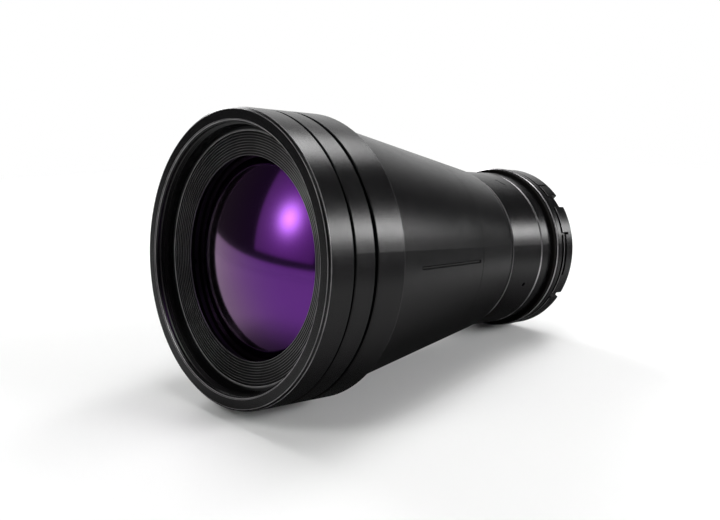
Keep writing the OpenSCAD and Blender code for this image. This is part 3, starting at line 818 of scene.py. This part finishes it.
@dataclass
class FrontBezel:
    """Front bezel with its helical filter thread."""

    finishes: FinishRack
    lathe: Lathe
    outer_r: float = 50.0 * MM
    skirt_r: float = 47.0 * MM
    face_inner_r: float = 45.9 * MM
    lead_r: float = 45.6 * MM
    thread_r: float = 44.6 * MM
    root_r: float = 45.06 * MM
    undercut_r: float = 45.5 * MM
    rear_z: float = 142.0 * MM
    cell_face_z: float = 145.15 * MM
    step: float = 0.25 * MM
    chamfer: float = 0.8 * MM
    rear_chamfer: float = 0.3 * MM
    thread_end_z: float = 147.8 * MM
    pitch: float = 0.75 * MM
    turns: int = 3
    flank_angle: float = 30.0
    steps_a_turn: int = 144
    ease: float = 0.07 * MM

    def build(self) -> None:
        """Turn the body and wind the thread."""
        front_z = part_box("front_bezel")[1].z
        body = self.lathe.turn("front_bezel_body", self.outline(front_z), ease=self.ease)
        hand_over(body, self.finishes, Slot.ANODISED, "front_bezel")
        hand_over(self.wind_thread(), self.finishes, Slot.ANODISED, "front_bezel")

    def outline(self, front_z: float) -> Outline:
        """Outline of the body, with its bore at the root of the thread.

        Args:
            front_z: Height of the front face.

        Returns:
            Radius and height of each corner.
        """
        return [
            (self.skirt_r, self.rear_z),
            (self.outer_r - self.rear_chamfer, self.rear_z),
            (self.outer_r, self.rear_z + self.rear_chamfer),
            (self.outer_r, front_z - self.chamfer),
            (self.outer_r - self.chamfer, front_z),
            (self.face_inner_r, front_z),
            (self.face_inner_r, front_z - self.step),
            (self.lead_r, front_z - self.step),
            (self.root_r, front_z - self.step - (self.lead_r - self.root_r)),
            (self.root_r, self.thread_end_z),
            (self.undercut_r, self.thread_end_z),
            (self.undercut_r, self.cell_face_z),
            (self.skirt_r, self.cell_face_z),
        ]

    def wind_thread(self) -> bpy.types.Object:
        """Wind one triangular ridge along the bore.

        Returns:
            The thread's ridge as a closed piece.
        """
        reach = self.pitch / 2 / math.cos(math.radians(self.flank_angle))
        centre = (self.thread_r + reach, 0.0, self.thread_end_z + self.pitch / 2)
        quarter = math.radians(90.0)
        deselect_all()
        bpy.ops.mesh.primitive_circle_add(
            vertices=3, radius=reach, location=centre, rotation=(quarter, -quarter, 0.0),
        )
        ridge = name_primitive("filter_thread_ridge")
        settle(ridge)
        screw = ridge.modifiers.new("winding", "SCREW")
        screw.angle = 2 * math.pi
        screw.screw_offset = self.pitch
        screw.iterations = self.turns
        screw.steps = self.steps_a_turn
        screw.render_steps = self.steps_a_turn
        screw.use_merge_vertices = False
        bpy.ops.object.modifier_apply(modifier=screw.name)
        bpy.ops.object.mode_set(mode="EDIT")
        bpy.ops.mesh.select_all(action="DESELECT")
        bpy.ops.mesh.select_non_manifold()
        bpy.ops.mesh.fill()
        close_up()
        bpy.ops.object.shade_smooth_by_angle(angle=math.radians(SMOOTH_ANGLE))
        return ridge


@dataclass
class FrontElement:
    """Domed germanium element, turned finely so that it mirrors cleanly."""

    finishes: FinishRack
    lathe: Lathe
    edge_r: float = 38.5 * MM
    dome_half: float = 36.3 * MM
    dome_height: float = 8.7 * MM
    hollow_depth: float = 6.2 * MM
    rear_z: float = 132.95 * MM
    rim_z: float = 138.85 * MM
    rings: int = 40
    smooth_angle: float = 20.0

    def build(self) -> None:
        """Turn the element and close both poles."""
        dome = self.cap(self.rim_z, self.dome_height)
        hollow = self.cap(self.rear_z, self.hollow_depth)
        edge = [(self.edge_r, self.rear_z), (self.edge_r, self.rim_z)]
        outline = hollow + edge + dome[::-1]
        piece = self.lathe.draw("front_element_polished", outline)
        bpy.ops.mesh.edge_face_add()
        bpy.ops.mesh.select_all(action="DESELECT")
        bpy.ops.mesh.select_non_manifold()
        bpy.ops.mesh.edge_face_add()
        close_up()
        self.lathe.finish(piece, 0.0, self.smooth_angle)
        hand_over(piece, self.finishes, Slot.FRONT_COATING, "front_element")

    def cap(self, edge_z: float, height: float) -> Outline:
        """Radius and height pairs of a spherical surface, from its pole to its edge.

        Args:
            edge_z: Height of the edge.
            height: Height of the pole above the edge.

        Returns:
            The pairs.
        """
        curve = (self.dome_half**2 + height**2) / (2 * height)
        radii = [self.dome_half * (number + 0.5) / (self.rings + 0.5) for number in range(self.rings + 1)]
        return [(r, edge_z + height - curve + math.sqrt(curve**2 - r**2)) for r in radii]


@dataclass
class SteppedBaffle:
    """Sawtooth ring between the filter thread and the front element."""

    finishes: FinishRack
    lathe: Lathe
    outer_r: float = 44.0 * MM
    land_r: float = 42.5 * MM
    lip_r: float = 34.6 * MM
    foot_r: float = 40.0 * MM
    seat_z: float = 141.55 * MM
    lip_z: float = 144.05 * MM
    lip_edge: float = 0.4 * MM
    step: float = 0.5 * MM
    steps: int = 9
    ease: float = 0.03 * MM

    def build(self) -> None:
        """Turn the ring with slightly eased teeth."""
        land_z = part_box("baffle_ring")[1].z
        pitch = (self.land_r - self.lip_r) / self.steps
        fall = (land_z - self.lip_z) / self.steps
        outline = [(self.outer_r, self.seat_z), (self.outer_r, land_z)]
        for number in range(self.steps):
            crest = (self.land_r - number * pitch, land_z - number * fall)
            outline += [crest, (crest[0], crest[1] - self.step)]
        outline += [
            (self.lip_r, self.lip_z),
            (self.lip_r, self.lip_z - self.lip_edge),
            (self.foot_r, self.seat_z),
        ]
        ring = self.lathe.turn("stepped_baffle", outline, ease=self.ease)
        hand_over(ring, self.finishes, Slot.ANODISED, "baffle_ring")
        finish = BaffleFinish("black_sawtooth_painted_crest_highlights", self.land_r, land_z, fall / pitch, self.step)
        self.finishes.coat(ring, finish.build(self.finishes.effects))


@dataclass
class EngravedLines:
    """Dark sheets in the engraved slot on the barrel, painted shade along its walls, and a black fill in the
    index mark on the collar.
    """

    finishes: FinishRack
    slot_shade_thickness: float = 0.2 * MM
    index_fill: float = 0.28 * MM
    engrave_depth: float = 0.3 * MM
    play: float = 0.01 * MM
    slot_angle: float = -7.5
    slot_width: float = 1.3 * MM
    slot_length: float = 41.0 * MM
    slot_radius: float = 38.11 * MM
    slot_z: float = 66.85 * MM
    slot_tilt: float = 10.44
    slot_line: float = 0.36 * MM
    slot_corners: int = 32
    index_angle: float = 54.7
    index_width: float = 0.6 * MM
    index_length: float = 4.6 * MM
    index_slant: float = 24.0
    index_radius: float = 32.4 * MM
    index_z: float = 27.6 * MM

    def build(self) -> None:
        """Lay the dark sheets in both."""
        slot = self.draw_slot()
        tilt = Matrix.Rotation(math.radians(self.slot_tilt), 4, "Y")
        self.lay(slot, self.slot_angle, self.slot_radius, self.slot_z, tilt)
        mark = self.draw_mark()
        slant = Matrix.Rotation(math.radians(self.index_slant), 4, "X")
        self.lay(mark, self.index_angle, self.index_radius, self.index_z, slant)

    def draw_slot(self) -> bpy.types.Object:
        """Dark line that runs around the slot's floor, painted shade for the slot's walls.

        Returns:
            The piece, drawn flat and starting at the origin.
        """
        deselect_all()
        end = self.slot_width / 2
        bpy.ops.mesh.primitive_circle_add(
            vertices=self.slot_corners, radius=end - self.play, fill_type="NGON", location=(0.0, end, 0.0),
        )
        piece = name_primitive("slot_painted_shade_outline")
        settle(piece)
        bpy.ops.object.mode_set(mode="EDIT")
        bpy.ops.mesh.select_all(action="DESELECT")
        capsule = bmesh.from_edit_mesh(piece.data)
        for corner in capsule.verts:
            corner.select = corner.co.y > end - self.play
        capsule.select_flush_mode()
        bmesh.update_edit_mesh(piece.data)
        bpy.ops.transform.translate(value=(0.0, self.slot_length - self.slot_width, 0.0))
        bpy.ops.mesh.select_all(action="SELECT")
        bpy.ops.mesh.inset(thickness=self.slot_line)
        bpy.ops.mesh.delete(type="FACE")
        self.thicken(self.slot_shade_thickness)
        return piece

    def draw_mark(self) -> bpy.types.Object:
        """Bar that fills the index mark.

        Returns:
            The piece, drawn flat around the origin.
        """
        deselect_all()
        bpy.ops.mesh.primitive_plane_add(size=1.0)
        piece = name_primitive("index_black_fill")
        piece.scale = (self.index_length - 2 * self.play, self.index_width - 2 * self.play, 1.0)
        settle(piece)
        bpy.ops.object.mode_set(mode="EDIT")
        self.thicken(self.index_fill)
        return piece

    def thicken(self, thickness: float) -> None:
        """Thicken the flat shape that is in edit mode, and leave edit mode.

        Args:
            thickness: Thickness of the fill.
        """
        bpy.ops.mesh.select_all(action="SELECT")
        bpy.ops.mesh.extrude_region_move(TRANSFORM_OT_translate={"value": (0.0, 0.0, thickness)})
        close_up()

    def lay(self, piece: bpy.types.Object, angle: float, radius: float, height: float, tip: Matrix) -> None:
        """Turn a flat piece to lie in its groove, and hand it over.

        Args:
            piece: The piece, drawn with its length along the groove's own axis.
            angle: Angle around the optical axis, in degrees.
            radius: Distance of the engraved surface from the optical axis.
            height: Height of the groove along the optical axis.
            tip: Turn of the groove on the surface.
        """
        around = Matrix.Rotation(math.radians(angle), 4, "Z")
        out = Matrix.Translation(Vector((radius, 0.0, height)))
        sunk = Matrix.Translation(Vector((-self.engrave_depth, 0.0, 0.0)))
        standing = Matrix(((0.0, 0.0, 1.0), (1.0, 0.0, 0.0), (0.0, 1.0, 0.0))).to_4x4()
        piece.matrix_world = around @ out @ tip @ sunk @ standing
        settle(piece)
        hand_over(piece, self.finishes, Slot.BLACKENED)
        # Dead black: painted shade in the slot, a black fill in the index mark.
        self.finishes.coat(piece, self.finishes.engraving_fill_and_shade)


@dataclass
class CarriedNodes:
    """CAD nodes whose own shape is shown, and the finish that each one gets."""

    finishes: FinishRack
    replaced: tuple[str, ...] = ("front_bezel", "front_element", "baffle_ring")

    def build(self) -> None:
        """Dress every node that no new piece replaces."""
        slots = {part["node"]: Slot(part["material_slot"]) for part in frame["record"]["subparts"]}
        for name, node in frame["nodes"].items():
            if name not in self.replaced:
                self.finishes.dress(node, slots[name])
                LOG.info("%s: dressed as %s", name, slots[name].value)


def standing_at(place: Vector, first: Vector, second: Vector, third: Vector) -> Matrix:
    """Matrix that puts an object at a place, with its own axes along the three given ones."""
    return Matrix.Translation(place) @ Matrix((first, second, third)).transposed().to_4x4()


@dataclass(frozen=True)
class StudioAxes:
    """The studio's directions, written in the lens's own axes."""

    up: Vector
    right: Vector
    front: Vector
    contact: Vector

    @classmethod
    def under_lens(cls, lie_angle: float, view: Vector) -> "StudioAxes":
        """Find the floor that touches the front band and the rear rim.

        Args:
            lie_angle: Angle in degrees around the optical axis of the side that faces up.
            view: Direction in which the camera looks.

        Returns:
            The studio's axes, with the point where the front band touches the floor.
        """
        band_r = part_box("front_barrel")[1].x
        rim_r = 34.2 * MM
        band_z = 120.3 * MM
        rim_z = 0.35 * MM
        lean = math.atan2(band_r - rim_r, band_z - rim_z)
        turn = math.radians(lie_angle)
        outward = Vector((math.cos(turn), math.sin(turn), 0.0))
        up = outward * math.cos(lean) + Vector((0.0, 0.0, math.sin(lean)))
        contact = Vector((0.0, 0.0, band_z)) - outward * band_r
        right = view.cross(up).normalized()
        return cls(up, right, right.cross(up).normalized(), contact)

    def towards(self, azimuth: float, elevation: float) -> Vector:
        """Direction in the studio.

        Args:
            azimuth: Degrees from the camera's side, positive to the camera's right.
            elevation: Degrees above the floor.

        Returns:
            The unit direction in the lens's axes.
        """
        turn, rise = math.radians(azimuth), math.radians(elevation)
        flat = self.front * math.cos(turn) + self.right * math.sin(turn)
        return flat * math.cos(rise) + self.up * math.sin(rise)


@dataclass(frozen=True)
class PhotoCamera:
    """Camera at the viewing angle of the photograph."""

    place: Vector = Vector((236.7, 0.0, 319.4)) * MM
    view: Vector = Vector((-0.72095, -0.00755, -0.69309))
    up: Vector = Vector((0.0277, 0.9987, -0.0404))
    focal_length: float = 43.62
    sensor_width: float = 36.0
    clip_start: float = 10.0 * MM

    def build(self) -> None:
        """Add the camera and make it the scene's."""
        back = -self.view.normalized()
        right = self.up.cross(back).normalized()
        up = back.cross(right)
        data = bpy.data.cameras.new("photo_camera")
        data.lens = self.focal_length
        data.sensor_width = self.sensor_width
        data.clip_start = self.clip_start
        camera = bpy.data.objects.new("photo_camera", data)
        camera.matrix_world = standing_at(self.place, right, up, back)
        bpy.context.scene.collection.objects.link(camera)
        bpy.context.scene.camera = camera
        LOG.info("camera at %s", tuple(round(part, 4) for part in self.place))


@dataclass(frozen=True)
class Softbox:
    """Soft lamp whose face fades to its edge, and may be brighter and tinted in its middle."""

    name: str
    azimuth: float
    elevation: float
    distance: float
    width: float
    height: float
    panel: float
    core: float = 0.0
    core_radius: float = 0.1
    glow: float = 0.0
    glow_radius: float = 0.2
    roll: float = 0.0
    softness: float = 0.25
    colour: Colour = WHITE
    core_colour: Colour = WHITE

    def build(self, axes: StudioAxes, aim: Vector) -> None:
        """Place the lamp's face in the studio, turned to the lens.

        Args:
            axes: The studio's axes.
            aim: Point that the lamp faces.
        """
        away = axes.towards(self.azimuth, self.elevation)
        side = axes.up.cross(away).normalized()
        turn = Matrix.Rotation(math.radians(self.roll), 3, away)
        side, top = turn @ side, turn @ away.cross(side)
        deselect_all()
        bpy.ops.mesh.primitive_grid_add(x_subdivisions=8, y_subdivisions=8, size=1.0)
        face = name_primitive(self.name)
        place = standing_at(aim + away * self.distance, side, top, away)
        face.matrix_world = place @ Matrix.Diagonal((self.width, self.height, 1.0, 1.0))
        face.data.materials.append(self.material())
        LOG.info("%s: softbox at %.0f, %.0f degrees", self.name, self.azimuth, self.elevation)

    def material(self) -> bpy.types.Material:
        """Glow that the camera doesn't see.

        Returns:
            The material.
        """
        material, sheet = new_material(self.name + "_glow")
        parts = sheet.add("SeparateXYZ", Vector=sheet.object_place())
        fades = []
        squares = []
        for axis, size in (("X", self.width), ("Y", self.height)):
            reach = sheet.maths("ABSOLUTE", parts.outputs[axis])
            fades.append(sheet.ramp(reach, 0.5 - self.softness / 2, 0.5, 1.0, 0.0))
            squares.append(sheet.maths("POWER", sheet.maths("MULTIPLY", reach, size), 2.0))
        fade = sheet.maths("MULTIPLY", *fades)
        square = sheet.maths("ADD", *squares)
        level = self.panel
        colour = rgba(self.colour)
        if self.core > 0.0:
            halo = self.bell(sheet, square, self.glow_radius)
            spot = self.bell(sheet, square, self.core_radius)
            wide = sheet.maths("MULTIPLY_ADD", halo, self.glow, self.panel)
            level = sheet.maths("MULTIPLY_ADD", spot, self.core, wide)
            share = sheet.maths("DIVIDE", sheet.maths("SUBTRACT", level, wide), level)
            colour = sheet.mix_colours(share, colour, rgba(self.core_colour))
        glow = sheet.add("Emission", Color=colour, Strength=sheet.maths("MULTIPLY", fade, level))
        clear = sheet.add("BsdfTransparent")
        hidden = sheet.seen_by(Ray.CAMERA, Ray.TRANSMISSION, Ray.SHADOW)
        sheet.add("OutputMaterial", Surface=sheet.add("MixShader", None, hidden, glow, clear))
        return material

    def bell(self, sheet: NodeSheet, square: bpy.types.NodeSocket, radius: float) -> bpy.types.NodeSocket:
        """Bell-shaped spot around the middle of the lamp's face.

        Args:
            sheet: Sheet of the lamp's material.
            square: Squared distance from the middle.
            radius: Distance at which the spot has faded to a third or so.

        Returns:
            The spot's socket, which is 1 in the middle.
        """
        return sheet.maths("EXPONENT", sheet.maths("MULTIPLY", square, -1.0 / radius**2))


@dataclass
class Studio:
    """White studio: floor, surroundings and softboxes."""

    camera: PhotoCamera
    lie_angle: float = 80.0
    aim: Vector = Vector((0.0, 0.0, 90.0 * MM))
    floor_half: float = 4.0
    floor_colour: float = 0.87
    table_edge: float = 0.25
    edge_blur: float = 0.05
    mirrored: float = 0.50
    mirrored_past: float = 0.12
    mirrored_under_shadow: float = 0.12
    under_near: float = 0.025
    under_far: float = 0.10
    fade_from: float = 0.34
    fade_to: float = 0.75
    ambient: float = 0.14
    dark_side: float = 0.03
    backdrop: float = 0.85
    backdrop_from: float = 0.66
    backdrop_to: float = 0.93
    softboxes: tuple[Softbox, ...] = (
        Softbox("right_softbox", 93.0, 14.3, 1.2, 1.0, 0.34, 14.5, roll=-18.0, softness=0.8),
        Softbox("right_front_softbox", 64.0, 20.0, 1.2, 0.42, 0.42, 17.0),
        Softbox("back_softbox", 143.0, 49.0, 1.2, 0.56, 0.56, 8.5, softness=0.7),
        Softbox(
            "left_softbox", -67.5, 20.6, 1.2, 0.90, 0.80, 0.27, core=6.3, core_radius=0.125, glow=0.75,
            glow_radius=0.27, softness=0.1, colour=(1.0, 0.78, 1.0), core_colour=(0.74, 1.0, 0.70),
        ),
        Softbox("key_softbox", -44.0, 44.0, 1.2, 0.52, 0.52, 7.0, softness=0.5),
        Softbox("back_left_softbox", -148.0, 32.0, 1.2, 0.62, 0.62, 9.0),
        Softbox("top_softbox", 100.0, 82.0, 1.3, 0.80, 0.80, 4.0),
    )

    def build(self) -> None:
        """Build the floor, the surroundings and the lamps."""
        axes = StudioAxes.under_lens(self.lie_angle, self.camera.view)
        self.build_floor(axes)
        self.build_surroundings(axes)
        for softbox in self.softboxes:
            softbox.build(axes, self.aim)

    def build_floor(self, axes: StudioAxes) -> None:
        """Lay the pale floor under the lens.

        Args:
            axes: The studio's axes.
        """
        deselect_all()
        bpy.ops.mesh.primitive_grid_add(x_subdivisions=2, y_subdivisions=2, size=2 * self.floor_half)
        floor = name_primitive("studio_floor")
        floor.matrix_world = standing_at(axes.contact, axes.right, -axes.front, axes.up)
        floor.data.materials.append(self.floor_material(axes))
        LOG.info("floor leans %.2f degrees from the lens's axis", math.degrees(math.asin(axes.up.z)))

    def floor_material(self, axes: StudioAxes) -> bpy.types.Material:
        """White floor that keeps the shadow near the lens and fades into the white beyond.

        Args:
            axes: The studio's axes.

        Returns:
            The material.
        """
        material, sheet = new_material("studio_white")
        place = sheet.object_place()
        away = sheet.vectors("LENGTH", place)
        far = sheet.ramp(away, self.fade_from, self.fade_to)
        shown = sheet.seen_by(Ray.CAMERA, Ray.GLOSSY, Ray.TRANSMISSION)
        mirrored = self.mirrored_level(sheet, place, axes)
        level = sheet.mix_values(sheet.seen_by(Ray.GLOSSY), 1.0, mirrored)
        paper = sheet.add("BsdfDiffuse", Color=sheet.maths("MULTIPLY", level, self.floor_colour))
        white = sheet.add("Emission", Strength=level)
        faded = sheet.add("MixShader", None, sheet.maths("MULTIPLY", far, shown), paper, white)
        below = sheet.add("NewGeometry").outputs["Backfacing"]
        clear = sheet.add("BsdfTransparent")
        sheet.add("OutputMaterial", Surface=sheet.add("MixShader", None, below, faded, clear))
        return material

    def mirrored_level(
        self, sheet: NodeSheet, place: bpy.types.NodeSocket, axes: StudioAxes,
    ) -> bpy.types.NodeSocket:
        """Brightness at which glossy pieces mirror the floor.

        It is lower past the table's right edge, and lower again right under the lens: a painted shadow
        there, which the lens's underside mirrors.

        Args:
            sheet: Sheet of the floor's material.
            place: Place on the floor.
            axes: The studio's axes.

        Returns:
            The level's socket.
        """
        aside = sheet.add("SeparateXYZ", Vector=place).outputs["X"]
        edge_from, edge_to = self.table_edge - self.edge_blur, self.table_edge + self.edge_blur
        table = sheet.ramp(aside, edge_from, edge_to, self.mirrored, self.mirrored_past)
        run = Vector((-axes.right.z, axes.front.z, 0.0)).normalized()
        along = sheet.vectors("DOT_PRODUCT", place, run)
        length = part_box("front_barrel")[1].z
        kept = sheet.maths("MINIMUM", sheet.maths("MAXIMUM", along, 0.0), length)
        foot = sheet.add("VectorMath", {"operation": "SCALE"}, run, Scale=kept).outputs["Vector"]
        # Painted shadow under the lens, seen only in reflections.
        beside = sheet.vectors("DISTANCE", place, foot)
        shade = sheet.ramp(beside, self.under_near, self.under_far, self.mirrored_under_shadow, 1.0)
        return sheet.maths("MULTIPLY", table, shade)

    def build_surroundings(self, axes: StudioAxes) -> None:
        """White to the eye, with a white backdrop behind the lens and a dim room at its sides.

        Args:
            axes: The studio's axes.
        """
        world = bpy.data.worlds.new("studio_room")
        world.use_nodes = True
        bpy.context.scene.world = world
        sheet = NodeSheet(world.node_tree)
        direction = sheet.add("TexCoord").outputs["Generated"]
        facing = sheet.vectors("DOT_PRODUCT", direction, -axes.front)
        behind = sheet.ramp(facing, self.backdrop_from, self.backdrop_to, self.dark_side, self.backdrop)
        room = sheet.mix_values(sheet.seen_by(Ray.GLOSSY), self.ambient, behind)
        level = sheet.mix_values(sheet.seen_by(Ray.CAMERA, Ray.TRANSMISSION), room, 1.0)
        background = sheet.add("Background", Color=rgba(WHITE), Strength=level)
        sheet.add("OutputWorld", Surface=background)


def main() -> None:
    """Build the lens's pieces, then the studio and the camera."""
    logging.basicConfig(level=logging.INFO, format="%(name)s: %(message)s")
    camera = PhotoCamera()
    camera.build()
    finishes = FinishRack()
    lathe = Lathe()
    FrontBezel(finishes, lathe).build()
    FrontElement(finishes, lathe).build()
    SteppedBaffle(finishes, lathe).build()
    EngravedLines(finishes).build()
    CarriedNodes(finishes).build()
    Studio(camera).build()
    bpy.context.scene.view_settings.view_transform = "Standard"
    bpy.context.view_layer.update()


if __name__ == "__main__":
    main()
